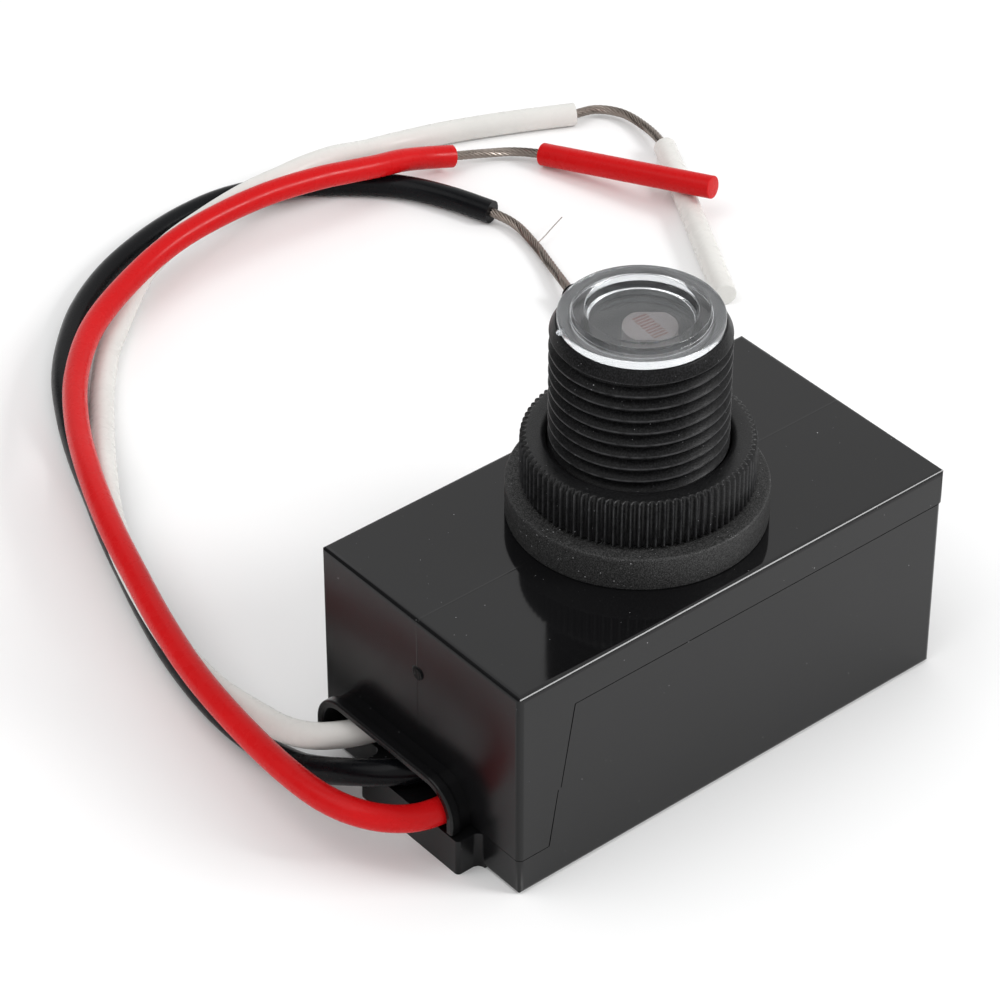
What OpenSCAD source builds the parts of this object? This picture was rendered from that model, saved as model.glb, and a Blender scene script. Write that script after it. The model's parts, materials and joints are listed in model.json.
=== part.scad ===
// Photocell switch: a moulded two-piece housing with a threaded sensor neck, a knurled
// ring nut on a sealing washer, a clear cap over the light cell, and three stripped leads.
// The origin is the middle of the bottom face, under the neck's axis. The leads leave at -X.

/* [Housing] */
// Length of the housing along X
body_l = 52; // [51:0.5:60]
// Width of the housing along Y
body_w = 28.3; // [27.5:0.1:36]
// Height of the housing without its neck
body_h = 23.4; // [23:0.1:32]
// Thickness of the moulded walls
wall = 1.8; // [1.5:0.1:2]
// Radius of the housing's outer edges
edge_r = 0.6; // [0.3:0.1:0.8]

/* [Parting line] */
// Depth of the cover's skirt below the top face
skirt_h = 3.8; // [3:0.1:5]
// Height of the cover's lower edge at the lead end
strip_h = 4.2; // [3.8:0.1:4.6]
// Distance from the lead end to the top of the slanted parting line
slant_top = 6.4; // [5.5:0.1:8]
// Distance from the lead end to the foot of the slanted parting line
slant_foot = 3.5; // [2.5:0.1:5]
// Sideways step part of the way down the slanted parting line
slant_step = 0.3; // [0.1:0.1:0.6]
// Height of that step above the bottom face
slant_step_z = 10.4; // [8:0.1:14]
// Gap left open between cover and base
seam_gap = 0.2; // [0.1:0.05:0.3]
// How far the base's faces stand inside the cover's
base_inset = 0.1; // [0.05:0.05:0.3]
// Height of the base's locating lip above the parting line
lip_h = 1.6; // [1:0.1:1.9]
// Thickness of the locating lip
lip_t = 0.8; // [0.6:0.1:1.2]

/* [Threaded neck] */
// Outer diameter of the pipe thread
thread_d = 16.66; // [16:0.02:18]
// Pitch of the thread
thread_pitch = 1.337; // [1:0.001:1.5]
// Depth of the thread
thread_depth = 0.8; // [0.5:0.05:0.9]
// Height of the neck above the top face
neck_h = 21.2; // [18:0.1:30]
// Plain land at the neck's mouth
land_h = 1.3; // [0.8:0.1:2]
// Bore of the neck
bore_d = 12.8; // [12:0.1:13]

/* [Washer and ring nut] */
// Outer diameter of the sealing washer
washer_d = 24.5; // [22:0.1:27]
// Thickness of the sealing washer
washer_h = 3.5; // [2:0.1:5]
// Outer diameter of the ring nut over its ribs
nut_d = 21.8; // [20.5:0.1:24]
// Height of the ring nut
nut_h = 5.1; // [4:0.1:7]
// Number of ribs round the ring nut
nut_ribs = 88; // [60:1:100]
// Depth of the grooves between the ribs
rib_depth = 0.35; // [0.2:0.05:0.5]
// Chamfer on the ribs' ends
rib_chamfer = 0.3; // [0.2:0.05:0.5]
// Radial clearance of washer and nut over the thread
thread_fit = 0.17; // [0.1:0.01:0.3]
// Depth of the nut's lead-in chamfers
lead_in = 0.4; // [0.2:0.05:0.6]

/* [Clear cap] */
// Diameter of the cap's flange
cap_d = 15.24; // [14.5:0.02:16]
// Thickness of the flange
cap_flange_t = 0.8; // [0.5:0.05:1.2]
// Outer diameter of the raised ring on the flange
ring_d = 13.2; // [12.6:0.1:14]
// Height of the raised ring above the flange
ring_h = 0.55; // [0.3:0.05:1]
// Diameter of the recessed window
window_d = 9.2; // [8:0.1:10]
// Depth of the window below the raised ring
window_depth = 1.3; // [0.8:0.1:1.6]
// Thickness of the window
window_t = 0.75; // [0.5:0.05:1]
// Length of the plug inside the neck
plug_l = 3; // [2:0.1:5]
// Wall of the plug
plug_t = 0.75; // [0.5:0.05:1]
// Radial clearance of the plug in the neck's bore
plug_fit = 0.05; // [0.02:0.01:0.15]

/* [Light cell] */
// Diameter of the light cell
cell_d = 5.1; // [4.5:0.1:6]
// Width of the cell across its flats
cell_flats = 4.3; // [3.8:0.1:5]
// Thickness of the cell
cell_t = 2; // [1.5:0.1:2.5]
// Air gap between the cell and the window
cell_gap = 0.35; // [0.1:0.05:1]
// Place of the cell from the neck's axis along X
cell_x = 0.6; // [-1:0.1:1]
// Place of the cell from the neck's axis along Y
cell_y = -0.5; // [-1:0.1:1]
// Turn of the cell about the neck's axis
cell_turn = -40; // [-180:5:180]
// Distance between the cell's two wires
cell_pitch = 3.4; // [2.5:0.1:3.6]
// Diameter of the cell's wires
cell_wire_d = 0.5; // [0.4:0.05:0.6]
// Outer diameter of the sleeves over the wires
sleeve_d = 1.2; // [1:0.1:1.5]

/* [Lead outlet] */
// Outer width of the arched spout
spout_w = 19.9; // [18:0.1:21]
// Height of the spout above the cover's lower edge
spout_h = 4.8; // [4.4:0.1:7]
// Offset of the spout's middle along Y
spout_y = 2.4; // [0:0.1:3]
// How far the spout stands out of the end wall
spout_out = 2.45; // [2:0.05:4]
// Corner radius of the spout
spout_r = 3.6; // [2:0.1:4.4]
// Wall of the spout
spout_t = 0.85; // [0.6:0.05:1.2]
// Depth of the bead round the spout's mouth
bead_w = 1.2; // [0.8:0.05:1.6]
// Height of the bead over the spout's neck
bead_h = 0.35; // [0.1:0.05:0.5]
// Radius of the bead's edges
bead_r = 0.25; // [0.1:0.05:0.4]
// Width of the tongue under the spout
tongue_w = 14.3; // [12:0.1:18]
// Offset of the tongue's middle along Y
tongue_y = -1.25; // [-3:0.05:1]
// Radius in the corners where the tongue meets the wall
tongue_r = 0.8; // [0.4:0.1:1.2]
// Diameter of the round gate mark on the end wall
gate_d = 1.2; // [0.8:0.1:2]
// Height of the gate mark's middle above the bottom face
gate_z = 17.3; // [12:0.1:19]

/* [Circuit board] */
// Thickness of the circuit board
board_t = 1.6; // [1:0.1:2]
// Height of the posts that carry the board
post_h = 2.2; // [2:0.1:3]
// Diameter of the posts
post_d = 4; // [3:0.1:4.5]
// Diameter of the pegs on the posts
peg_d = 1.8; // [1.4:0.1:2.2]
// Clearance between the board and the side walls
board_gap = 1.4; // [0.8:0.1:1.6]
// Room for the leads between end wall and board
lead_bay = 9.2; // [8.5:0.1:9.5]

/* [Leads] */
// Diameter of the leads over their insulation
lead_d = 2.6; // [2:0.1:2.6]
// Diameter of the bare twisted strands
strand_d = 1; // [0.8:0.1:1.2]

/* [Hidden] */
$fn = 64;

// Housing
lead_end = -body_l / 2;
far_end = body_l / 2;
in_l = body_l - 2 * wall;
in_w = body_w - 2 * wall;
seam_z = body_h - skirt_h;
slant_share = (slant_step_z - strip_h) / (seam_z - strip_h);
slant_mid = slant_foot + (slant_top - slant_step - slant_foot) * slant_share;
lip_x0 = lead_end + slant_top + wall;
fit_gap = 0.1;
cut = 1;

// Neck, washer and nut, upwards along the axis
neck_top = body_h + neck_h;
thread_top = neck_top - land_h;
thread_turns = floor((thread_top - body_h) / thread_pitch);
thread_z0 = thread_top - thread_turns * thread_pitch;
crest_r = thread_d / 2;
root_r = crest_r - thread_depth;
crest_flat = 0.25 * thread_pitch;
root_flat = 0.15 * thread_pitch;
mouth_chamfer = 0.25;
washer_top = body_h + washer_h;
nut_z = washer_top + 0.05;
washer_round = 0.5;

// Cap and cell, downwards from the neck's mouth
flange_top = neck_top + cap_flange_t;
ring_top = flange_top + ring_h;
window_top = ring_top - window_depth;
window_under = window_top - window_t;
plug_r = bore_d / 2 - plug_fit;
ring_slope = 0.25;
cell_top = window_under - cell_gap;
cell_foot = cell_top - cell_t;
sleeve_fit = 0.1;

// Outlet
corner_y = spout_w / 2 - spout_r;
corner_z = strip_h + spout_h - spout_r;
bore_r = spout_r - spout_t;
tongue_top = strip_h - seam_gap;
tongue_edge_r = 0.4;
gate_proud = 0.15;

// Circuit board and what stands on it
board_x0 = lead_end + wall + lead_bay;
board_x1 = far_end - wall - board_gap;
board_w = in_w - 2 * board_gap;
board_z = wall + post_h;
board_top = board_z + board_t;
post_inset = 2.6;
post_x = [board_x0 + post_inset, board_x1 - post_inset];
post_y = [-board_w / 2 + post_inset, board_w / 2 - post_inset];
peg_top = board_top - 0.1;

// Parts on the board: rows built from the lead end and from the board's two long edges
part_gap = 0.4;
edge_gap = 0.6;
head_gap = 0.8;
leg_d = 0.6;
side_y = board_w / 2 - edge_gap;
joint_inset = 3.8;
joint_x = board_x0 + joint_inset;
joint_d = 2.6;
joint_h = 1.6;
row_x0 = joint_x + joint_d / 2 + part_gap;
zener_r = 0.95;
zener_l = 3.8;
zener_span = 5.6;
zener_x = row_x0 + zener_r;
zener_y = zener_span / 2 + leg_d / 2 - side_y;
resistor_r = 1.1;
resistor_l = 4.6;
resistor_span = 6.4;
resistor_x = zener_x + zener_r + part_gap + resistor_r;
resistor_y = resistor_span / 2 + leg_d / 2 - side_y;
varistor_d = 7;
varistor_t = 3.2;
varistor_lift = 1.5;
varistor_x0 = resistor_x + resistor_r + part_gap;
varistor_x = varistor_x0 + varistor_d / 2;
transistor_r = 2.3;
transistor_h = 4.6;
transistor_lift = 3;
transistor_flat = 1.6;
transistor_x = varistor_x;
transistor_y = varistor_t + part_gap + transistor_flat - side_y;
rectifier = [4.6, 6.2, 2.6];
rectifier_x0 = varistor_x0 + varistor_d + part_gap;
can_d = 8;
can_h = 11.5;
can_x = row_x0 + can_d / 2;
pair_x = can_x + can_d / 2 + part_gap + leg_d / 2 + resistor_span / 2;
relay_x0 = rectifier_x0 + rectifier[0] + part_gap;
relay_x1 = board_x1 - edge_gap;
film_x0 = pair_x + resistor_span / 2 + leg_d / 2 + part_gap;
film_w = 4.2;
film_h = 10;
relay_y1 = side_y - film_w - part_gap;
relay_h = body_h - wall - head_gap - board_top;

// Lead routes, from the board outwards, and the stripped ends beyond them, drawn for one place of
// the end wall and moved along with it
lead_r = lead_d / 2;
drawn_end = -26;
red_route = at_end([[-12.5, -5.5, 7.4], [-22, -5.4, 6.1], [-25.5, -5.4, 5.7], [-28.2, -5.2, 5.5],
    [-30.6, -4.5, 5.6], [-32.9, -3.1, 6], [-34.6, -0.9, 6.3], [-35.6, 2.2, 6.4], [-35.9, 6.9, 6.4],
    [-35.5, 14.1, 6.4], [-34.3, 22.9, 6.4], [-32.3, 31.2, 6.4], [-29.9, 39, 6.5], [-27.2, 47, 6.5],
    [-23.7, 55.3, 6.1], [-19.3, 63.8, 5.3], [-14, 71.5, 4.7], [-7.2, 77.9, 4.5], [1.9, 82.5, 4.7],
    [8.3, 84.1, 5.3], [14.5, 84.5, 5.7], [20.7, 84.2, 5.9], [27.1, 83.4, 5.6], [31.2, 82.9, 5],
    [34.6, 82.6, 4.4], [38, 82.6, 3.7], [41.5, 82.4, 2.7], [44.6, 81.8, 1.9]]);
red_strands = at_end([[48.5, 80.7, 1.2], [51.3, 79, 1.1]]);
red_tip = at_end([[53.2, 76.2, 1.4], [60.4, 55.6, 4.4]]);
white_route = at_end([[-12.5, 4.5, 7.4], [-22, 6, 6.1], [-25.5, 7.4, 5.6], [-28, 8.8, 5.3],
    [-30, 10.8, 4.9], [-31.2, 13.5, 4.5], [-31.8, 17.4, 4.2], [-32.3, 22.6, 4], [-31.9, 28, 3.9],
    [-30.7, 33.8, 3.9], [-28.3, 41.8, 3.9], [-26.6, 46.4, 3.9], [-24.9, 50, 3.9], [-23.3, 53, 3.9],
    [-21.5, 55.9, 3.8], [-19.3, 59.4, 3.3], [-16.6, 63.5, 2.3], [-14.1, 67.1, 1.6], [-11.5, 70.8, 1.4],
    [-6.4, 76.8, 1.3], [-2.7, 80, 1.4], [0.5, 82.5, 1.8], [4, 84.8, 2.4], [9.1, 86.6, 3.1],
    [14.3, 87.4, 3.6], [18.1, 87.8, 3.9], [21.7, 88.1, 4], [25, 88.1, 4], [28.5, 88, 4.1],
    [32.6, 88, 3.7], [37, 88.3, 2.4], [41.3, 88.3, 1.6], [47.5, 86.8, 1.3], [54.5, 83.8, 1.3],
    [61.5, 80.3, 1.3]]);
white_strands = at_end([[64.2, 79.7, 1.1], [66, 77.5, 1], [66.3, 74, 1]]);
white_tip = at_end([[64.9, 68.6, 1.3], [50.6, 42.7, 1.3]]);
black_route = at_end([[-12.5, -1, 7.4], [-22, -0.7, 6.1], [-25.5, 0.1, 5.6], [-28.2, 1.9, 5.4],
    [-30, 4.5, 4.7], [-31.1, 7.8, 3.3], [-31.7, 11.2, 2], [-32.2, 15.5, 1.4], [-32.4, 20.6, 1.3],
    [-31.9, 26, 1.3], [-30.6, 32.5, 1.3], [-28.8, 38.7, 1.3], [-26.7, 44.9, 1.3], [-24.6, 50.8, 1.3],
    [-22.1, 57, 1.3], [-19.3, 63.9, 1.3], [-16.4, 69.9, 1.3], [-13, 75.6, 1.3], [-9.2, 80.2, 1.3],
    [-4.3, 84.7, 1.3], [2.3, 88.7, 1.3], [9.2, 91.1, 1.3], [15, 92.1, 1.3], [20.7, 91.9, 1.3],
    [27.8, 89.3, 1.3], [31.5, 86.6, 1.3], [34.8, 83.8, 1.3], [37.5, 80.6, 1.3], [39.8, 76, 1.3],
    [41.5, 71, 1.3]]);
black_strands = at_end([[42.3, 68, 0.9], [41.7, 64, 0.7], [40.3, 59.5, 0.8]]);
black_tip = at_end([[38.2, 53.5, 1.3], [33.6, 36.5, 1.3]]);
end_gap = 0.2;
tip_bore_fit = 0.05;
tip_filled = 0.85;
route_sides = 8;

housing_black = "#1c1c1e";
washer_black = "#151515";
clear_tint = "#dfe3e8";
tinned = "#b9b6ae";

function last(list) = list[len(list) - 1];
function unit(v) = v / norm(v);
function at_end(path) = [for (p = path) p + [lead_end - drawn_end, 0, 0]];
function tangent(path, i) = unit(path[min(i + 1, len(path) - 1)] - path[max(i - 1, 0)]);
function across(t) = unit(cross([0, 0, 1], t));

// A closed tube of a few flat sides, swept along the points of a path
module swept_tube(path, r) {
    n = route_sides;
    count = len(path);
    points = [for (i = [0:count - 1])
        let (t = tangent(path, i), s = across(t), u = cross(t, s))
        for (k = [0:n - 1]) path[i] + r * (cos(360 * k / n) * s + sin(360 * k / n) * u)];
    walls = [for (i = [0:count - 2]) for (k = [0:n - 1])
        let (a = i * n + k, b = i * n + (k + 1) % n)
        [a, a + n, b + n, b]];
    start_cap = [for (k = [0:n - 1]) k];
    end_cap = [for (k = [n - 1:-1:0]) (count - 1) * n + k];
    polyhedron(points = points, faces = concat([start_cap], walls, [end_cap]), convexity = 6);
}

// Children are stood on the point a, with their +Z pointing at b
module aimed(a, b) {
    d = b - a;
    translate(a)
        rotate([0, acos(d[2] / norm(d)), atan2(d[1], d[0])])
            children();
}

module rounded_rect(w, h, r) {
    square([w - 2 * r, h], center = true);
    square([w, h - 2 * r], center = true);
    for (x = [-1, 1], y = [-1, 1])
        translate([x * (w / 2 - r), y * (h / 2 - r)])
            circle(r);
}

// A block standing on the bottom face with every edge rounded
module rounded_block(l, w, h, r) {
    intersection() {
        linear_extrude(h)
            rounded_rect(l, w, r);
        translate([0, 0, h / 2])
            rotate([90, 0, 0])
                linear_extrude(w, center = true)
                    rounded_rect(l, h, r);
        translate([0, 0, h / 2])
            rotate([90, 0, 90])
                linear_extrude(l, center = true)
                    rounded_rect(w, h, r);
    }
}

// Side outline of everything above the parting line, moved outwards by a gap
module cover_outline(gap) {
    polygon([
        [lead_end - cut, strip_h - gap],
        [lead_end + slant_foot + gap, strip_h - gap],
        [lead_end + slant_mid + gap, slant_step_z],
        [lead_end + slant_mid + slant_step + gap, slant_step_z],
        [lead_end + slant_top + gap, seam_z - gap],
        [far_end + cut, seam_z - gap],
        [far_end + cut, body_h + cut],
        [lead_end - cut, body_h + cut]
    ]);
}

module cover_zone(gap) {
    rotate([90, 0, 0])
        linear_extrude(body_w + 2 * cut, center = true)
            cover_outline(gap);
}

// Children are outlines in Y and Z, extruded along X from x0
module along_x(x0, depth) {
    translate([x0, 0, 0])
        rotate([90, 0, 90])
            linear_extrude(depth)
                children();
}

// The spout's opening, down past the wall's lower edge
module arch_opening() {
    foot = strip_h - cut;
    top = corner_z + bore_r;
    w = 2 * (corner_y + bore_r);
    translate([spout_y, 0]) {
        translate([-w / 2, foot])
            square([w, corner_z - foot]);
        translate([-corner_y, foot])
            square([2 * corner_y, top - foot]);
        for (side = [-1, 1])
            translate([side * corner_y, corner_z])
                circle(bore_r);
    }
}

// Section of the spout's wall: out from the corner's centre along X, out of the end wall along Y
module spout_section() {
    translate([bore_r, -wall / 2])
        square([spout_t - bead_h, spout_out - bead_w / 2 + wall / 2]);
    translate([bore_r + spout_t / 2, spout_out - bead_w / 2])
        rounded_rect(spout_t, bead_w, bead_r);
}

// The section swept up one leg, round two corners, across the top and down the other leg
module spout() {
    leg = corner_z - strip_h;
    translate([lead_end, spout_y, corner_z])
        rotate([0, -90, 0]) {
            rotate([90, 0, 0])
                linear_extrude(2 * corner_y, center = true)
                    spout_section();
            for (side = [0, 1])
                mirror([0, side])
                    translate([0, corner_y]) {
                        rotate_extrude(angle = 90)
                            spout_section();
                        translate([-leg, 0])
                            rotate([90, 0, 90])
                                linear_extrude(leg)
                                    spout_section();
                    }
        }
}

// Ridges of the thread, from its foot to the land at the neck's mouth
thread_outline = [for (i = [0:thread_turns - 1])
    let (z = thread_z0 + i * thread_pitch, flank = (thread_pitch - crest_flat - root_flat) / 2)
    each [[root_r, z + root_flat / 2], [crest_r, z + root_flat / 2 + flank],
          [crest_r, z + thread_pitch - root_flat / 2 - flank], [root_r, z + thread_pitch - root_flat / 2]]];

module neck() {
    rotate_extrude()
        polygon(concat(
            [[0, body_h - wall / 2], [root_r, body_h - wall / 2]],
            thread_outline,
            [[root_r, thread_top], [crest_r, thread_top + root_flat],
             [crest_r, neck_top - mouth_chamfer], [crest_r - mouth_chamfer, neck_top], [0, neck_top]]));
}

module gate_mark() {
    along_x(lead_end - gate_proud, wall / 2)
        translate([0, gate_z])
            circle(d = gate_d);
}

module top_cover() {
    color(housing_black)
        difference() {
            union() {
                difference() {
                    intersection() {
                        rounded_block(body_l, body_w, body_h, edge_r);
                        cover_zone(0);
                    }
                    translate([-in_l / 2, -in_w / 2, -cut])
                        cube([in_l, in_w, body_h - wall + cut]);
                }
                spout();
                gate_mark();
                neck();
            }
            translate([0, 0, body_h - wall - cut])
                cylinder(d = bore_d, h = neck_h + wall + 2 * cut);
            along_x(lead_end - cut / 2, wall + cut)
                arch_opening();
        }
}

// Plan of the tongue, with rounded outer corners and filleted roots
module tongue_plan() {
    x0 = lead_end + base_inset;
    out = spout_out + base_inset;
    translate([x0 - out / 2 + wall / 4, tongue_y])
        rounded_rect(out + wall / 2, tongue_w, tongue_edge_r);
    for (side = [-1, 1])
        translate([x0, tongue_y + side * tongue_w / 2])
            mirror([0, side < 0 ? 1 : 0])
                difference() {
                    translate([-tongue_r, -tongue_r])
                        square([tongue_r + wall / 4, 2 * tongue_r]);
                    translate([-tongue_r, tongue_r])
                        circle(tongue_r);
                }
}

// The lip that centres the cover, on the two sides and the far end
module lip_ring(gap, thickness, z0, z1) {
    translate([0, 0, z0])
        linear_extrude(z1 - z0)
            difference() {
                translate([lip_x0, -in_w / 2 + gap])
                    square([in_l / 2 - gap - lip_x0, in_w - 2 * gap]);
                translate([lip_x0 - cut, -in_w / 2 + gap + thickness])
                    square([in_l / 2 - gap - thickness - lip_x0 + cut, in_w - 2 * (gap + thickness)]);
            }
}

module base() {
    lip_root = seam_z - 2 * lip_h;
    color(housing_black) {
        difference() {
            union() {
                difference() {
                    rounded_block(body_l - 2 * base_inset, body_w - 2 * base_inset, body_h, edge_r);
                    cover_zone(seam_gap);
                    translate([-in_l / 2, -in_w / 2, wall])
                        cube([in_l, in_w, body_h]);
                }
                linear_extrude(tongue_top)
                    tongue_plan();
            }
            translate([-in_l / 2, -in_w / 2, wall])
                cube([in_l, in_w, body_h]);
        }
        lip_ring(fit_gap, lip_t, lip_root, seam_z + lip_h);
        lip_ring(-wall / 3, lip_t + fit_gap, lip_root, seam_z - 2 * seam_gap);
        for (x = post_x, y = post_y)
            translate([x, y, 0]) {
                translate([0, 0, wall / 2])
                    cylinder(d = post_d, h = board_z - wall / 2);
                cylinder(d = peg_d, h = peg_top);
            }
    }
}

// Cross-section of the knurl: one trapezoid rib per step
module knurl() {
    step = 360 / nut_ribs;
    groove_r = nut_d / 2 - rib_depth;
    polygon([for (i = [0:nut_ribs - 1])
        each [for (k = [[-0.3, groove_r], [-0.16, nut_d / 2], [0.16, nut_d / 2], [0.3, groove_r]])
            k[1] * [cos((i + k[0]) * step), sin((i + k[0]) * step)]]]);
}

module ring_nut() {
    thread_r = crest_r + thread_fit;
    over = nut_d / 2 + rib_chamfer;
    color(housing_black)
        translate([0, 0, nut_z])
            difference() {
                intersection() {
                    linear_extrude(nut_h)
                        knurl();
                    rotate_extrude()
                        polygon([[0, 0], [over - 2 * rib_chamfer, 0], [over, 2 * rib_chamfer],
                                 [over, nut_h - 2 * rib_chamfer], [over - 2 * rib_chamfer, nut_h],
                                 [0, nut_h]]);
                }
                translate([0, 0, -cut])
                    cylinder(r = thread_r, h = nut_h + 2 * cut);
                translate([0, 0, nut_h - lead_in])
                    cylinder(r1 = thread_r, r2 = thread_r + lead_in + cut, h = lead_in + cut);
                translate([0, 0, -cut])
                    cylinder(r1 = thread_r + lead_in + cut, r2 = thread_r, h = lead_in + cut);
            }
}

module sealing_washer() {
    outer_r = washer_d / 2;
    color(washer_black)
        translate([0, 0, body_h])
            rotate_extrude()
                difference() {
                    union() {
                        translate([crest_r + thread_fit, 0])
                            square([outer_r - washer_round - crest_r - thread_fit, washer_h]);
                        translate([crest_r + thread_fit, 0])
                            square([outer_r - crest_r - thread_fit, washer_h - washer_round]);
                        translate([outer_r - washer_round, washer_h - washer_round])
                            circle(washer_round);
                    }
                }
}

module clear_cap() {
    rim_r = cap_d / 2;
    rim_round = cap_flange_t / 4;
    in_r = plug_r - plug_t;
    color(clear_tint, 0.6)
        rotate_extrude()
            polygon([
                [0, window_under], [in_r, window_under], [in_r, neck_top - plug_l],
                [plug_r, neck_top - plug_l], [plug_r, neck_top], [rim_r - rim_round, neck_top],
                [rim_r, neck_top + rim_round], [rim_r, flange_top - rim_round],
                [rim_r - rim_round, flange_top], [ring_d / 2, flange_top], [ring_d / 2 - ring_slope, ring_top],
                [window_d / 2 + 2 * ring_slope, ring_top], [window_d / 2 + ring_slope, ring_top - ring_slope],
                [window_d / 2, window_top], [0, window_top]
            ]);
}

// Children are placed at the light cell, turned with it
module at_cell(z) {
    translate([cell_x, cell_y, z])
        rotate(cell_turn)
            children();
}

module light_cell() {
    color("tan")
        at_cell(cell_foot)
            linear_extrude(cell_t)
                intersection() {
                    circle(d = cell_d);
                    square([cell_d, cell_flats], center = true);
                }
}

module cell_wires() {
    color(tinned)
        at_cell(board_top)
            for (side = [-1, 1])
                translate([side * cell_pitch / 2, 0, 0])
                    cylinder(d = cell_wire_d, h = cell_foot - board_top);
}

module cell_sleeves() {
    bare_end = 2;
    length = cell_foot - board_top - 2 * bare_end;
    color("ivory")
        at_cell(board_top + bare_end)
            for (side = [-1, 1])
                translate([side * cell_pitch / 2, 0, 0])
                    difference() {
                        cylinder(d = sleeve_d, h = length);
                        translate([0, 0, -cut])
                            cylinder(d = cell_wire_d + 2 * sleeve_fit, h = length + 2 * cut);
                    }
}

module circuit_board() {
    color("darkgreen")
        difference() {
            translate([board_x0, -board_w / 2, board_z])
                cube([board_x1 - board_x0, board_w, board_t]);
            for (x = post_x, y = post_y)
                translate([x, y, board_z - cut])
                    cylinder(d = peg_d + 2 * fit_gap, h = board_t + 2 * cut);
        }
}

module relay() {
    l = relay_x1 - relay_x0;
    w = relay_y1 + side_y;
    color("royalblue")
        translate([relay_x0 + l / 2, relay_y1 - w / 2, board_top])
            rounded_block(l, w, relay_h, edge_r);
}

module film_capacitor() {
    l = relay_x1 - film_x0;
    color("goldenrod")
        translate([film_x0 + l / 2, side_y - film_w / 2, board_top])
            rounded_block(l, film_w, film_h, edge_r);
}

module electrolytic_capacitor() {
    groove_z = 0.2 * can_d;
    groove = 0.05 * can_d;
    r = can_d / 2;
    color("midnightblue")
        translate([can_x, side_y - r, board_top])
            rotate_extrude()
                polygon([[0, 0], [r, 0], [r, groove_z - groove], [r - groove, groove_z],
                         [r, groove_z + groove], [r, can_h - groove], [r - groove, can_h], [0, can_h]]);
}

module bridge_rectifier() {
    color("dimgray")
        translate([rectifier_x0 + rectifier[0] / 2, rectifier[1] / 2 - side_y, board_top])
            rounded_block(rectifier[0], rectifier[1], rectifier[2], edge_r / 2);
}

// A part with one wire through it, bent down to the board at both ends, along its own X
module axial_part(body_r, length, span) {
    lift = body_r + leg_d / 2;
    translate([-length / 2, 0, lift])
        rotate([0, 90, 0])
            cylinder(r = body_r, h = length);
    translate([-span / 2, 0, lift])
        rotate([0, 90, 0])
            cylinder(d = leg_d, h = span);
    for (side = [-1, 1])
        translate([side * span / 2, 0, 0])
            cylinder(d = leg_d, h = lift);
}

module zener_diode() {
    color("firebrick")
        translate([zener_x, zener_y, board_top])
            rotate(90)
                axial_part(zener_r, zener_l, zener_span);
}

module resistors() {
    color("burlywood") {
        translate([resistor_x, resistor_y, board_top])
            rotate(90)
                axial_part(resistor_r, resistor_l, resistor_span);
        for (k = [0, 1])
            translate([pair_x, side_y - resistor_r - k * (2 * resistor_r + part_gap), board_top])
                axial_part(resistor_r, resistor_l, resistor_span);
    }
}

module transistor() {
    leg_pitch = 1.27;
    color("dimgray")
        translate([transistor_x, transistor_y, board_top]) {
            translate([0, 0, transistor_lift])
                linear_extrude(transistor_h)
                    difference() {
                        circle(transistor_r);
                        translate([-transistor_r, -transistor_r - transistor_flat])
                            square([2 * transistor_r, transistor_r]);
                    }
            for (k = [-1, 0, 1])
                translate([k * leg_pitch, 0, 0])
                    cylinder(d = leg_d, h = transistor_lift + leg_d);
        }
}

module varistor() {
    color("steelblue")
        translate([varistor_x, varistor_t / 2 - side_y, board_top]) {
            translate([0, varistor_t / 2, varistor_lift + varistor_d / 2])
                rotate([90, 0, 0])
                    cylinder(d = varistor_d, h = varistor_t);
            for (side = [-1, 1])
                translate([side * varistor_d / 4, 0, 0])
                    cylinder(d = leg_d, h = varistor_lift + varistor_d / 4);
        }
}

// Solder cones on the board, with the bare end of each lead running into them
module lead_joints() {
    color(tinned)
        for (route = [red_route, white_route, black_route]) {
            joint = [joint_x, route[0][1], board_top + joint_h];
            start = route[0] + end_gap * unit(joint - route[0]);
            translate([joint_x, joint[1], board_top])
                cylinder(d1 = joint_d, d2 = strand_d, h = joint_h + strand_d);
            aimed(start, joint)
                cylinder(d = strand_d, h = norm(joint - start));
        }
}

module lead(route, paint) {
    color(paint)
        swept_tube(route, lead_r);
}

// The bare strands start at the insulation's end and run on inside the slid-off tip
module strands(route, bare, tip) {
    start = last(route) + end_gap * unit(bare[0] - last(route));
    inside = tip[0] + tip_filled * (tip[1] - tip[0]);
    color(tinned)
        swept_tube(concat([start], bare, [tip[0], inside]), strand_d / 2);
}

module lead_tip(tip, paint) {
    length = norm(tip[1] - tip[0]);
    color(paint)
        aimed(tip[0], tip[1])
            difference() {
                cylinder(r = lead_r, h = length);
                translate([0, 0, -cut])
                    cylinder(d = strand_d + 2 * tip_bore_fit, h = length + 2 * cut);
            }
}

module lead_red() { lead(red_route, "crimson"); }
module lead_red_strands() { strands(red_route, red_strands, red_tip); }
module lead_red_tip() { lead_tip(red_tip, "crimson"); }
module lead_white() { lead(white_route, "whitesmoke"); }
module lead_white_strands() { strands(white_route, white_strands, white_tip); }
module lead_white_tip() { lead_tip(white_tip, "whitesmoke"); }
module lead_black() { lead(black_route, "#22242a"); }
module lead_black_strands() { strands(black_route, black_strands, black_tip); }
module lead_black_tip() { lead_tip(black_tip, "#22242a"); }

top_cover();
base();
ring_nut();
sealing_washer();
clear_cap();
light_cell();
cell_wires();
cell_sleeves();
circuit_board();
relay();
film_capacitor();
electrolytic_capacitor();
bridge_rectifier();
zener_diode();
transistor();
resistors();
varistor();
lead_joints();
lead_red();
lead_red_strands();
lead_red_tip();
lead_white();
lead_white_strands();
lead_white_tip();
lead_black();
lead_black_strands();
lead_black_tip();
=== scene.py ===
"""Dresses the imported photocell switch.

Its solids get finishes, and its neck, nut, washer, cap, cell track and leads are modelled.
"""

import json
import math

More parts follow.
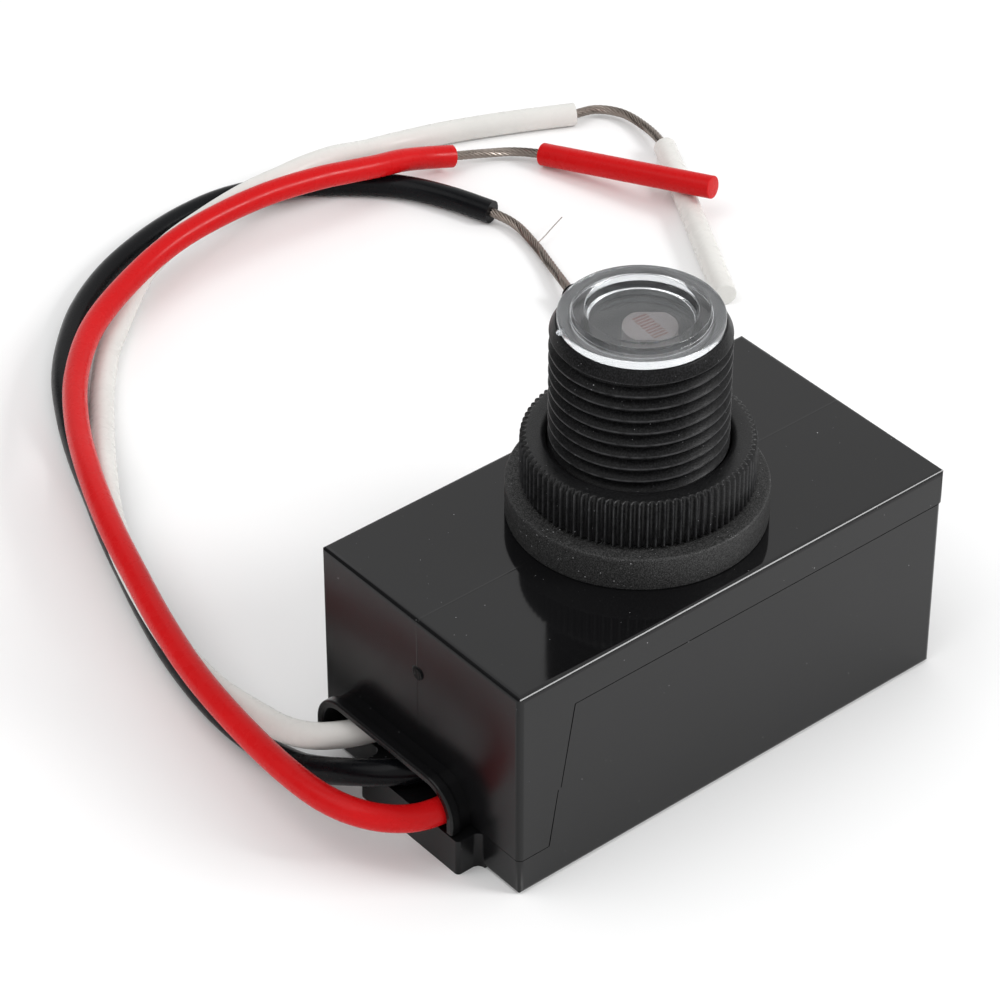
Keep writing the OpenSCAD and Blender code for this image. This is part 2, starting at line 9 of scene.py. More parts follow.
import bmesh
import bpy
from bpy.props import FloatProperty, FloatVectorProperty, IntProperty, PointerProperty
from mathutils import Matrix, Vector


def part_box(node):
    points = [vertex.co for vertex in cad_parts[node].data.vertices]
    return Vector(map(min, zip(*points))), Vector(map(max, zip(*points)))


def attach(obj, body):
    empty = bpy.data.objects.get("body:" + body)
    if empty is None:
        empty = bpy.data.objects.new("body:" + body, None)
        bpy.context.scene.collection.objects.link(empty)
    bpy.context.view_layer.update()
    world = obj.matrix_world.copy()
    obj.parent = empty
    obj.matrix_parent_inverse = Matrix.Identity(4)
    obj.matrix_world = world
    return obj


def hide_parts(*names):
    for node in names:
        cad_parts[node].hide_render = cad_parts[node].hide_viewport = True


bl_info = {
    "name": "Photocell Switch",
    "version": (1, 0, 0),
    "blender": (4, 5, 0),
    "location": "View3D > Sidebar > Switch",
    "description": "Finishes and modelled pieces of a photocell switch with a threaded neck and three leads",
    "category": "Object",
}

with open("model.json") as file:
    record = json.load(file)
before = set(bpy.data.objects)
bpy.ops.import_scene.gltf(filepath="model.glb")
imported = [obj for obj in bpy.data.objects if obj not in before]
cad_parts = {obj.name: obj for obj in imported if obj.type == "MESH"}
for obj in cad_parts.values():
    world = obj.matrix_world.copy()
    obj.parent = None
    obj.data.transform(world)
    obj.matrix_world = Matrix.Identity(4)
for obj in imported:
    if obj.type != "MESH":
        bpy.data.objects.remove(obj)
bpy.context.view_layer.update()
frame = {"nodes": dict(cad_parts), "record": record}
NODES = frame["nodes"]
MM = 0.001
HOUSING = "housing"
NUT = "nut"

COVER_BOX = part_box("top_cover")
WASHER_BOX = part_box("sealing_washer")
NUT_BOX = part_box("ring_nut")
CAP_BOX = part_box("clear_cap")
CELL_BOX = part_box("light_cell")
TOP_FACE = WASHER_BOX[0].z
NECK_TOP = COVER_BOX[1].z
END_WALL_X = -COVER_BOX[1].x
NECK_MOUNT = next(m for m in frame["record"]["mounts"] if m["name"] == "neck_land")

# Routes of the leads in millimetres: insulation, bare strands, ends of the slid-off tip, stray strand
LEADS = {
    "red": {
        "route": [(-12.5, -5.5, 7.4), (-22, -5.4, 6.1), (-25.5, -5.4, 5.7), (-28.2, -5.2, 5.5),
            (-30.6, -4.5, 5.6), (-32.9, -3.1, 6), (-34.6, -0.9, 6.3), (-35.6, 2.2, 6.4), (-35.9, 6.9, 6.4),
            (-35.5, 14.1, 6.4), (-34.3, 22.9, 6.4), (-32.3, 31.2, 6.4), (-29.9, 39, 6.5), (-27.2, 47, 6.5),
            (-23.7, 55.3, 6.1), (-19.3, 63.8, 5.3), (-14, 71.5, 4.7), (-7.2, 77.9, 4.5), (1.9, 82.5, 4.7),
            (8.3, 84.1, 5.3), (14.5, 84.5, 5.7), (20.7, 84.2, 5.9), (27.1, 83.4, 5.6), (31.2, 82.9, 5),
            (34.6, 82.6, 4.4), (38, 82.6, 3.7), (41.5, 82.4, 2.7), (44.6, 81.8, 1.9)],
        "bare": [(48.5, 80.7, 1.2), (51.3, 79, 1.1)],
        "tip": [(53.2, 76.2, 1.4), (60.4, 55.6, 4.4)],
    },
    "white": {
        "route": [(-12.5, 4.5, 7.4), (-22, 6, 6.1), (-25.5, 7.4, 5.6), (-28, 8.8, 5.3), (-30, 10.8, 4.9),
            (-31.2, 13.5, 4.5), (-31.8, 17.4, 4.2), (-32.3, 22.6, 4), (-31.9, 28, 3.9), (-30.7, 33.8, 3.9),
            (-28.3, 41.8, 3.9), (-26.6, 46.4, 3.9), (-24.9, 50, 3.9), (-23.3, 53, 3.9), (-21.5, 55.9, 3.8),
            (-19.3, 59.4, 3.3), (-16.6, 63.5, 2.3), (-14.1, 67.1, 1.6), (-11.5, 70.8, 1.4), (-6.4, 76.8, 1.3),
            (-2.7, 80, 1.4), (0.5, 82.5, 1.8), (4, 84.8, 2.4), (9.1, 86.6, 3.1), (14.3, 87.4, 3.6),
            (18.1, 87.8, 3.9), (21.7, 88.1, 4), (25, 88.1, 4), (28.5, 88, 4.1), (32.6, 88, 3.7),
            (37, 88.3, 2.4), (41.3, 88.3, 1.6), (47.5, 86.8, 1.3), (54.5, 83.8, 1.3), (61.5, 80.3, 1.3)],
        "bare": [(64.2, 79.7, 1.1), (66, 77.5, 1), (66.3, 74, 1)],
        "tip": [(64.9, 68.6, 1.3), (50.6, 42.7, 1.3)],
    },
    "black": {
        "route": [(-12.5, -1, 7.4), (-22, -0.7, 6.1), (-25.5, 0.1, 5.6), (-28.2, 1.9, 5.4), (-30, 4.5, 4.7),
            (-31.1, 7.8, 3.3), (-31.7, 11.2, 2), (-32.2, 15.5, 1.4), (-32.4, 20.6, 1.3), (-31.9, 26, 1.3),
            (-30.6, 32.5, 1.3), (-28.8, 38.7, 1.3), (-26.7, 44.9, 1.3), (-24.6, 50.8, 1.3), (-22.1, 57, 1.3),
            (-19.3, 63.9, 1.3), (-16.4, 69.9, 1.3), (-13, 75.6, 1.3), (-9.2, 80.2, 1.3), (-4.3, 84.7, 1.3),
            (2.3, 88.7, 1.3), (9.2, 91.1, 1.3), (15, 92.1, 1.3), (20.7, 91.9, 1.3), (27.8, 89.3, 1.3),
            (31.5, 86.6, 1.3), (34.8, 83.8, 1.3), (37.5, 80.6, 1.3), (39.8, 76, 1.3), (41.5, 71, 1.3)],
        "bare": [(42.3, 68, 0.9), (41.7, 64, 0.7), (40.3, 59.5, 0.8)],
        "tip": [(38.2, 53.5, 1.3), (33.6, 36.5, 1.3)],
        "stray": [(41.9, 63.6, 0.9), (43.2, 64, 1), (45, 64.7, 1.1), (47, 65.5, 1.1)],
    },
}
ROUTE_STEPS = 10
STRAND_COUNT = 9
STRAND_STEPS = 14
STRAND_LAY = 5.5 * MM
TIP_HOLE_SHARE = 0.6
ROUND_SEGMENTS = 160

# Marks of the mould: the seam along the cover, the gate on its end wall, and the gate on the cap's rim
SEAM_Y = 0.2 * MM
GATE_Z = 17.3 * MM
NUB_ANGLE = math.radians(159)

# Stage: lamps, the dark side of the surroundings that shows in gloss, the floor and the camera's sensor
KEY_PLACE = (0.36, -0.44, 0.43)
KEY_SIZE = 0.2
GLINT_SIZE = (0.45, 0.1)
FILL_PLACE = (-0.30, 0.10, 0.60)
FILL_SIZE = 0.5
DARK_SIDE = (-0.55, 0.6, 0.5)
DARK_RIM = (0.62, 0.82)
DARK_LEVEL = 0.12
FLOOR_REACH = 3
FLOOR_DROP = 0.02 * MM
SENSOR_WIDTH = 36


def length_prop(name, description, millimetres):
    """A length in metres, shown in the sidebar, with its default written in millimetres."""
    return FloatProperty(
        name=name, description=description, default=millimetres * MM, min=0, unit="LENGTH", precision=5)


def colour_prop(name, description, colour):
    """A linear colour, shown in the sidebar."""
    return FloatVectorProperty(
        name=name, description=description, default=colour, size=3, min=0, max=1, subtype="COLOR")


def power_prop(name, description, watts):
    """A lamp's power, shown in the sidebar."""
    return FloatProperty(name=name, description=description, default=watts, min=0, unit="POWER")


class SwitchSizes(bpy.types.PropertyGroup):
    """Sizes of the modelled pieces."""

    crest_radius: length_prop(
        "Thread crest radius", "Radius over the thread's crests", NECK_MOUNT["dims"]["r_mm"])
    thread_depth: length_prop("Thread depth", "From crest to root of the thread", 0.7)
    thread_pitch: length_prop("Thread pitch", "Rise of the thread in one turn", 1.337)
    land_height: length_prop("Land height", "Height of the bevelled band at the neck's mouth", 1.3)
    mouth_depth: length_prop("Mouth depth", "Depth of the bevel round the neck's mouth", 0.6)
    flange_height: length_prop("Flange height", "Thickness of the cap's flange", 0.8)
    bore_radius: length_prop("Bore radius", "Bore of the neck", 6.4)
    rib_depth: length_prop("Rib depth", "Depth of the grooves between the nut's ribs", 0.45)
    rib_count: IntProperty(name="Ribs", description="Ribs round the ring nut", default=88, min=12)
    nut_bore: length_prop("Nut bore", "Radius of the ring nut's bore", 8.5)
    lead_radius: length_prop("Lead radius", "Radius of a lead over its insulation", 1.3)
    strand_radius: length_prop("Strand radius", "Radius of one fine strand", 0.14)
    bundle_radius: length_prop("Bundle radius", "Radius of a lead's twisted bare strands", 0.5)


class SwitchColours(bpy.types.PropertyGroup):
    """Colours of the finishes."""

    housing: colour_prop("Housing", "Moulded housing, gloss", (0.0050, 0.0050, 0.0054))
    # Painted highlight: a lighter colour painted on the outer crests of the neck and ring nut, standing in
    # for the light they catch
    painted_highlight: colour_prop(
        "Painted_highlight_on crests", "Neck and ring nut where their crests are rubbed", (0.055, 0.055, 0.057))
    dust: colour_prop("Dust", "Light specks on the dark pieces", (0.60, 0.60, 0.62))
    neck: colour_prop("Neck and nut", "Neck and ring nut, satin", (0.0075, 0.0075, 0.0079))
    washer: colour_prop("Washer", "Sealing washer, matte", (0.022, 0.022, 0.022))
    red: colour_prop("Red lead", "Insulation of the first lead", (0.58, 0.0065, 0.008))
    white: colour_prop("White lead", "Insulation of the second lead", (0.73, 0.72, 0.69))
    black: colour_prop("Black lead", "Insulation of the third lead", (0.0035, 0.0038, 0.0048))
    copper: colour_prop("Strands", "Tinned copper strands", (0.245, 0.21, 0.185))
    cap: colour_prop("Cap", "Clear cap over the cell", (0.92, 0.94, 0.96))
    cell: colour_prop("Cell", "Ceramic of the light cell", (0.23, 0.19, 0.18))
    track: colour_prop("Cell track", "Light-sensitive track on the cell", (0.17, 0.045, 0.035))


class StageSettings(bpy.types.PropertyGroup):
    """Camera, lamps and floor."""

    camera_place: FloatVectorProperty(
        name="Camera", description="Place of the camera", default=(-0.2075, -0.2295, 0.2654),
        subtype="TRANSLATION", unit="LENGTH", precision=4)
    camera_back: FloatVectorProperty(
        name="View axis", description="From the object back to the camera",
        default=(-0.5044, -0.6059, 0.6151), subtype="DIRECTION")
    camera_up: FloatVectorProperty(
        name="Up", description="The picture's upward direction", default=(0.3935, 0.4728, 0.7884),
        subtype="DIRECTION")
    lens: FloatProperty(
        name="Lens", description="Focal length for a 36 mm sensor", default=153.07, min=10, unit="CAMERA")
    dome: FloatProperty(
        name="Dome", description="Strength of the even studio light", default=0.74, min=0, subtype="FACTOR")
    key: power_prop("Key", "Power of the key lamp", 2.2)
    glint: power_prop("Glint", "Power of the lamp seen only in gloss", 1.8)
    fill: power_prop("Fill", "Power of the fill lamp", 1.2)


# Mesh helpers

def smooth_path(points, steps):
    """A smooth line through the points, which are in millimetres; the result is in metres."""
    knots = [Vector(p) * MM for p in points]
    knots = [2 * knots[0] - knots[1], *knots, 2 * knots[-1] - knots[-2]]
    path = []
    for a, b, c, d in zip(knots, knots[1:], knots[2:], knots[3:]):
        t1 = math.sqrt((b - a).length)
        t2 = t1 + math.sqrt((c - b).length)
        t3 = t2 + math.sqrt((d - c).length)
        for k in range(steps):
            t = t1 + (t2 - t1) * k / steps
            ab = a.lerp(b, t / t1)
            bc = b.lerp(c, (t - t1) / (t2 - t1))
            cd = c.lerp(d, (t - t2) / (t3 - t2))
            abc = ab.lerp(bc, t / t2)
            bcd = bc.lerp(cd, (t - t1) / (t3 - t1))
            path.append(abc.lerp(bcd, (t - t1) / (t2 - t1)))
    path.append(knots[-2])
    return path


def frames_along(path):
    """A tangent and two cross axes at each point, turned as little as possible from point to point."""
    last = len(path) - 1
    tangents = [(path[min(i + 1, last)] - path[max(i - 1, 0)]).normalized() for i in range(last + 1)]
    side = tangents[0].orthogonal().normalized()
    frames = []
    for t in tangents:
        side = (side - t * side.dot(t)).normalized()
        frames.append((t, side, t.cross(side)))
    return frames


def join_rings(bm, rings, closed=False):
    """Quads between each ring of vertices and the next; a ring of one vertex makes a fan."""
    pairs = list(zip(rings, rings[1:]))
    if closed:
        pairs.append((rings[-1], rings[0]))
    for low, high in pairs:
        count = max(len(low), len(high))
        for k in range(count):
            n = (k + 1) % count
            corners = [low[k % len(low)], low[n % len(low)], high[n % len(high)], high[k % len(high)]]
            unique = list(dict.fromkeys(corners))
            if len(unique) > 2:
                bm.faces.new(unique)


def revolve(bm, profile, segments, closed=False, place=Matrix.Identity(4)):
    """A surface of revolution about Z from (radius, height) pairs; it is closed into a ring where asked."""
    turn = [2 * math.pi * k / segments for k in range(segments)]
    rings = []
    for radius, height in profile:
        on_axis = radius < 1e-9
        ring = [(0, 0)] if on_axis else [(radius * math.cos(a), radius * math.sin(a)) for a in turn]
        rings.append([bm.verts.new(place @ Vector((x, y, height))) for x, y in ring])
    join_rings(bm, rings, closed)


def sweep(bm, path, radius, sides, taper=None):
    """A closed round tube along a path; taper gives a share of the radius at each point."""
    turn = [2 * math.pi * k / sides for k in range(sides)]
    rings = []
    for i, (point, (t, side, up)) in enumerate(zip(path, frames_along(path))):
        r = radius * (taper[i] if taper else 1)
        rings.append([bm.verts.new(point + r * (math.cos(a) * side + math.sin(a) * up)) for a in turn])
    join_rings(bm, rings)
    bm.faces.new(list(reversed(rings[0])))
    bm.faces.new(rings[-1])


def rounded_profile(corners, steps=4):
    """(radius, height) pairs with each corner (radius, height, round) replaced by a small arc."""
    profile = []
    count = len(corners)
    for i, (r, z, size) in enumerate(corners):
        here = Vector((r, z))
        if size <= 0:
            profile.append((r, z))
            continue
        before = (Vector(corners[i - 1][:2]) - here).normalized()
        after = (Vector(corners[(i + 1) % count][:2]) - here).normalized()
        start, end = here + before * size, here + after * size
        for k in range(steps + 1):
            t = k / steps
            p = start * (1 - t) ** 2 + here * 2 * t * (1 - t) + end * t ** 2
            profile.append((max(p.x, 0), p.y))
    return profile


def make_piece(name, bm, finish, body, sharp=35):
    """An object from a bmesh, smooth up to an angle between faces, riding on a body."""
    bmesh.ops.recalc_face_normals(bm, faces=bm.faces)
    mesh = bpy.data.meshes.new(name)
    bm.to_mesh(mesh)
    bm.free()
    mesh.shade_smooth()
    mesh.set_sharp_from_angle(angle=math.radians(sharp))
    mesh.materials.append(finish)
    obj = bpy.data.objects.new(name, mesh)
    bpy.context.scene.collection.objects.link(obj)
    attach(obj, body)
    return obj


def even_normals(mesh, limit):
    """Weights corner normals by face area, so that large flat faces look flat up to their rounded edges."""
    around = [[] for _ in mesh.vertices]
    for face in mesh.polygons:
        for v in face.vertices:
            around[v].append((face.normal.copy(), face.area / MM ** 2))
    normals = [Vector() for _ in mesh.loops]
    for face in mesh.polygons:
        for corner, v in zip(face.loop_indices, face.vertices):
            near = (n * area for n, area in around[v] if n.dot(face.normal) > math.cos(limit))
            normals[corner] = sum(near, Vector()).normalized()
    mesh.normals_split_custom_set(normals)


def dress(node, finish):
    """A CAD node keeps its shape and gets a finish."""
    obj = NODES[node]
    obj.data.materials.clear()
    obj.data.materials.append(finish)


# Materials

def feed(links, socket, value):
    """Links a socket to another one, or sets its value."""
    if isinstance(value, bpy.types.NodeSocket):
        links.new(value, socket)
    else:
        socket.default_value = value


class Finish:
    """A procedural material: a Principled shader fed by nodes that use object coordinates in metres."""

    def __init__(self, name, roughness=0.5, specular=0.5):
        self.material = bpy.data.materials.new(name)
        self.material.use_nodes = True
        self.nodes = self.material.node_tree.nodes
        self.links = self.material.node_tree.links
        self.shader = self.nodes["Principled BSDF"]
        self.shader.inputs["Roughness"].default_value = roughness
        self.shader.inputs["Specular IOR Level"].default_value = specular
        self.place = self.nodes.new("ShaderNodeTexCoord").outputs["Object"]
        self.normal = None

    def link(self, source, socket):
        self.links.new(source, self.shader.inputs[socket])

    def noise(self, size, detail=2.0):
        """Noise between 0 and 1 whose blotches are about size metres across."""
        node = self.nodes.new("ShaderNodeTexNoise")
        node.inputs["Scale"].default_value = 1 / size
        node.inputs["Detail"].default_value = detail
        self.links.new(self.place, node.inputs["Vector"])
        return node.outputs["Fac"]

    def specks(self, spacing, size):
        """1 on small scattered specks, 0 elsewhere."""
        cells = self.nodes.new("ShaderNodeTexVoronoi")
        cells.inputs["Scale"].default_value = 1 / spacing
        self.links.new(self.place, cells.inputs["Vector"])
        return self.ramp(cells.outputs["Distance"], size / spacing, size / spacing * 0.5)

    def ramp(self, value, at_zero, at_one):
        """Maps value to 0 at at_zero and to 1 at at_one."""
        node = self.nodes.new("ShaderNodeMapRange")
        node.inputs["From Min"].default_value = at_zero
        node.inputs["From Max"].default_value = at_one
        self.links.new(value, node.inputs["Value"])
        return node.outputs["Result"]

    def spread(self, value, low, high):
        """Maps a noise's middle range to low and high."""
        node = self.nodes.new("ShaderNodeMapRange")
        node.inputs["From Min"].default_value = 0.3
        node.inputs["From Max"].default_value = 0.7
        node.inputs["To Min"].default_value = low
        node.inputs["To Max"].default_value = high
        self.links.new(value, node.inputs["Value"])
        return node.outputs["Result"]

    def math(self, operation, a, b=0.0):
        """One arithmetic step on values or sockets."""
        node = self.nodes.new("ShaderNodeMath")
        node.operation = operation
        for socket, value in zip(node.inputs, (a, b)):
            feed(self.links, socket, value)
        return node.outputs["Value"]

    def axis(self, name):
        """One object coordinate, in metres."""
        node = self.nodes.new("ShaderNodeSeparateXYZ")
        self.links.new(self.place, node.inputs["Vector"])
        return node.outputs[name]

    def distance(self, a, b):
        """Length of a line that runs a one way and b across it."""
        squares = self.math("ADD", self.math("MULTIPLY", a, a), self.math("MULTIPLY", b, b))
        return self.math("SQRT", squares)

    def radius(self):
        """Distance from the neck's axis, in metres."""
        return self.distance(self.axis("X"), self.axis("Y"))

    def mix(self, factor, a, b):
        """A colour between a and b; either may be a socket."""
        node = self.nodes.new("ShaderNodeMix")
        node.data_type = "RGBA"
        self.links.new(factor, node.inputs["Factor"])
        for socket, value in ((node.inputs[6], a), (node.inputs[7], b)):
            feed(self.links, socket, (*value, 1) if isinstance(value, tuple) else value)
        return node.outputs[2]

    def bump(self, height, depth, strength=1.0):
        """Adds a bump of that depth in metres."""
        node = self.nodes.new("ShaderNodeBump")
        node.inputs["Strength"].default_value = strength
        node.inputs["Distance"].default_value = depth
        self.links.new(height, node.inputs["Height"])
        if self.normal:
            self.links.new(self.normal, node.inputs["Normal"])
        self.normal = node.outputs["Normal"]
        self.link(self.normal, "Normal")


def tint(colour, factor):
    """A colour made lighter or darker."""
    return tuple(min(c * factor, 1) for c in colour)


def dusted(f, colour, dust, spacing, size):
    """A colour with coarse and fine specks of dust, thicker in some places than in others."""
    coarse = f.math("MULTIPLY", f.specks(spacing, size), f.ramp(f.noise(7 * MM), 0.45, 0.55))
    fine = f.math("MULTIPLY", f.specks(spacing * 0.41, size * 0.5), f.ramp(f.noise(2.5 * MM), 0.5, 0.6))
    opacity = 0.8
    return f.mix(f.math("MULTIPLY", f.math("MAXIMUM", coarse, fine), opacity), colour, dust)


def moulded_gloss(name, colours, mould_marks=False):
    """Gloss black plastic with flow marks and dust; the end wall is duller, and the cover has mould marks."""
    f = Finish(name)
    colour = tuple(colours.housing)
    base = f.mix(f.noise(9 * MM), tint(colour, 0.8), tint(colour, 1.25))
    dull = f.ramp(f.axis("X"), END_WALL_X + 0.3 * MM, END_WALL_X + 0.05 * MM)
    rough = f.math("ADD", f.spread(f.noise(5 * MM, 4), 0.06, 0.1), f.math("MULTIPLY", dull, 0.17))
    f.bump(f.noise(14 * MM), 0.02 * MM, 0.2)
    if mould_marks:
        off = f.math("SUBTRACT", f.axis("Y"), SEAM_Y)
        f.bump(f.ramp(f.math("ABSOLUTE", off), 0.09 * MM, 0.03 * MM), 0.02 * MM, 0.6)
        up = f.math("SUBTRACT", f.axis("Z"), GATE_Z)
        gate = f.math("MULTIPLY", f.ramp(f.distance(off, up), 0.75 * MM, 0.6 * MM), dull)
        base = f.mix(gate, base, tint(colour, 0.3))
        rough = f.math("ADD", rough, f.math("MULTIPLY", gate, 0.4))
        f.bump(f.math("MULTIPLY", gate, f.noise(0.35 * MM)), 0.25 * MM, 0.8)
    f.link(dusted(f, base, tuple(colours.dust), 2.1 * MM, 0.07 * MM), "Base Color")
    f.link(rough, "Roughness")
    f.link(f.math("SUBTRACT", 0.35, f.math("MULTIPLY", dull, 0.13)), "Specular IOR Level")
    return f.material


def moulded_satin(name, colours, crest, reach, specular):
    """Satin black plastic of a round piece, with a painted highlight: lighter in patches on its outer crests.
    """
    f = Finish(name, specular=specular)
    colour = tuple(colours.neck)
    base = f.mix(f.ramp(f.noise(0.14 * MM, 1), 0.4, 0.68), tint(colour, 0.6), tint(colour, 2.2))
    # Painted highlight: the outer crests are painted lighter in patches, in place of the light they catch
    painted_highlight_mask = f.ramp(f.radius(), crest - reach, crest)
    painted_highlight = f.math("MULTIPLY", painted_highlight_mask, f.ramp(f.noise(0.9 * MM, 3), 0.25, 0.6))
    base = f.mix(painted_highlight, base, tuple(colours.painted_highlight))
    f.link(dusted(f, base, tuple(colours.dust), 1.1 * MM, 0.065 * MM), "Base Color")
    f.link(f.spread(f.noise(0.8 * MM, 4), 0.3, 0.42), "Roughness")
    f.bump(f.noise(0.14 * MM, 1), 0.02 * MM, 0.7)
    return f.material


def rubber_matte(name, colours):
    """Matte rubber with a fine light grain."""
    f = Finish(name, specular=0.25)
    colour = tuple(colours.washer)
    base = f.mix(f.ramp(f.noise(0.11 * MM, 1), 0.4, 0.68), tint(colour, 0.5), tint(colour, 2.5))
    f.link(dusted(f, base, tuple(colours.dust), 0.8 * MM, 0.07 * MM), "Base Color")
    f.link(f.spread(f.noise(0.5 * MM, 3), 0.5, 0.7), "Roughness")
    f.bump(f.noise(0.11 * MM, 1), 0.03 * MM, 0.8)
    return f.material


def insulation(name, colour, roughness):
    """Soft PVC with slow changes of colour and a faint unevenness."""
    f = Finish(name, specular=0.12)
    f.link(f.mix(f.noise(6 * MM, 3), tint(colour, 0.9), tint(colour, 1.06)), "Base Color")
    f.link(f.spread(f.noise(1.2 * MM, 3), roughness - 0.05, roughness + 0.07), "Roughness")
    f.bump(f.noise(2 * MM, 1), 0.012 * MM, 0.25)
    return f.material


def tinned_copper(name, colour):
    """Fine tinned strands, a little dull."""
    f = Finish(name)
    f.shader.inputs["Metallic"].default_value = 1
    f.link(f.mix(f.noise(0.6 * MM, 3), tint(colour, 0.7), tint(colour, 1.25)), "Base Color")
    f.link(f.spread(f.noise(0.3 * MM), 0.26, 0.42), "Roughness")
    f.bump(f.noise(0.1 * MM), 0.01 * MM, 0.4)
    return f.material


def milky_clear(name, colour, rim):
    """Clear moulded plastic that turns milky towards its rim."""
    f = Finish(name)
    f.shader.inputs["IOR"].default_value = 1.42
    f.link(f.mix(f.noise(1.5 * MM, 3), tint(colour, 0.96), tint(colour, 1.03)), "Base Color")
    clear = f.spread(f.noise(2.5 * MM, 3), 0.985, 0.95)
    flange = f.math("MULTIPLY", f.ramp(f.radius(), rim - 1.3 * MM, rim - 1.1 * MM), 0.025)
    edge = f.math("MULTIPLY", f.ramp(f.radius(), rim - 0.25 * MM, rim), 0.06)
    f.link(f.math("SUBTRACT", clear, f.math("ADD", flange, edge)), "Transmission Weight")
    f.link(f.spread(f.noise(0.7 * MM, 3), 0.03, 0.08), "Roughness")
    f.bump(f.noise(0.9 * MM, 3), 0.006 * MM, 0.3)
    return f.material


def painted(name, colour, roughness):
    """Plain lacquer, epoxy or ceramic of the cell and the pieces inside the housing."""
    f = Finish(name)
    f.link(f.mix(f.noise(1.5 * MM, 3), tint(colour, 0.8), tint(colour, 1.15)), "Base Color")
    f.link(f.spread(f.noise(0.8 * MM), roughness - 0.06, roughness + 0.06), "Roughness")
    f.bump(f.noise(0.3 * MM), 0.01 * MM, 0.4)
    return f.material


def material(name, maker, *args, **settings):
    """A material made once and shared by name."""
    return bpy.data.materials.get(name) or maker(name, *args, **settings)


# Operators

class SWITCH_OT_stage(bpy.types.Operator):
    """Camera at the photograph's viewing angle, soft studio light and a pale floor"""

    bl_idname = "switch.stage"
    bl_label = "Stage"

    def execute(self, context):
        s = context.scene.switch_stage
        scene = context.scene
        scene.view_settings.view_transform = "Standard"
        camera = bpy.data.objects.new("camera", bpy.data.cameras.new("camera"))
        scene.collection.objects.link(camera)
        back, up = Vector(s.camera_back).normalized(), Vector(s.camera_up).normalized()
        axes = Matrix((up.cross(back), up, back)).transposed()
        camera.matrix_world = Matrix.Translation(s.camera_place) @ axes.to_4x4()
        camera.data.sensor_width = SENSOR_WIDTH
        camera.data.lens = s.lens
        camera.data.clip_start = 0.01
        scene.camera = camera
        self.world(scene, s.dome)
        self.lamp(scene, "key", KEY_PLACE, KEY_SIZE, s.key)
        self.lamp(scene, "fill", FILL_PLACE, FILL_SIZE, s.fill)
        glint = self.lamp(scene, "glint", KEY_PLACE, GLINT_SIZE[0], s.glint)
        glint.data.shape = "RECTANGLE"
        glint.data.size_y = GLINT_SIZE[1]
        glint.visible_diffuse = False
        self.floor(scene)
        return {"FINISHED"}

    def world(self, scene, dome):
        """White to the camera, white with a dark side in gloss and through the cap, and even as light."""
        world = bpy.data.worlds.new("studio")
        world.use_nodes = True
        scene.world = world
        nodes, links = world.node_tree.nodes, world.node_tree.links

        def step(kind, operation, *inputs):
            node = nodes.new(kind)
            node.operation = operation
            for socket, value in zip(node.inputs, inputs):
                feed(links, socket, value)
            return node.outputs["Value"]

        def blend(factor, at_zero, at_one):
            node = nodes.new("ShaderNodeMapRange")
            links.new(factor, node.inputs["Value"])
            feed(links, node.inputs["To Min"], at_zero)
            feed(links, node.inputs["To Max"], at_one)
            return node.outputs["Result"]

        rays = nodes.new("ShaderNodeLightPath").outputs
        toward = nodes.new("ShaderNodeTexCoord").outputs["Generated"]
        near = step("ShaderNodeVectorMath", "DOT_PRODUCT", toward, Vector(DARK_SIDE).normalized())
        unlit = nodes.new("ShaderNodeMapRange")
        unlit.interpolation_type = "SMOOTHSTEP"
        unlit.inputs["From Min"].default_value = DARK_RIM[0]
        unlit.inputs["From Max"].default_value = DARK_RIM[1]
        links.new(near, unlit.inputs["Value"])
        mirrored = blend(unlit.outputs["Result"], 1.0, DARK_LEVEL)
        through = step("ShaderNodeMath", "MAXIMUM", rays["Is Glossy Ray"], rays["Is Transmission Ray"])
        level = blend(rays["Is Camera Ray"], blend(through, dome, mirrored), 1.0)
        background = nodes["Background"]
        background.inputs["Color"].default_value = (1, 1, 1, 1)
        links.new(level, background.inputs["Strength"])

    def lamp(self, scene, name, place, size, power):
        """A soft box that faces the object."""
        light = bpy.data.lights.new(name, "AREA")
        light.size = size
        light.energy = power
        obj = bpy.data.objects.new(name, light)
        scene.collection.objects.link(obj)
        obj.location = place
        obj.rotation_euler = (-Vector(place)).to_track_quat("-Z", "Y").to_euler()
        return obj

    def floor(self, scene):
        """A wide pale sheet under the object."""
        bm = bmesh.new()
        bmesh.ops.create_grid(bm, x_segments=1, y_segments=1, size=FLOOR_REACH)
        mesh = bpy.data.meshes.new("floor")
        bm.to_mesh(mesh)
        bm.free()
        f = Finish("paper", roughness=0.9, specular=0.0)
        f.link(f.mix(f.noise(40 * MM), (0.93, 0.93, 0.93), (0.95, 0.95, 0.95)), "Base Color")
        mesh.materials.append(f.material)
        floor = bpy.data.objects.new("floor", mesh)
        floor.location.z = -FLOOR_DROP
        scene.collection.objects.link(floor)


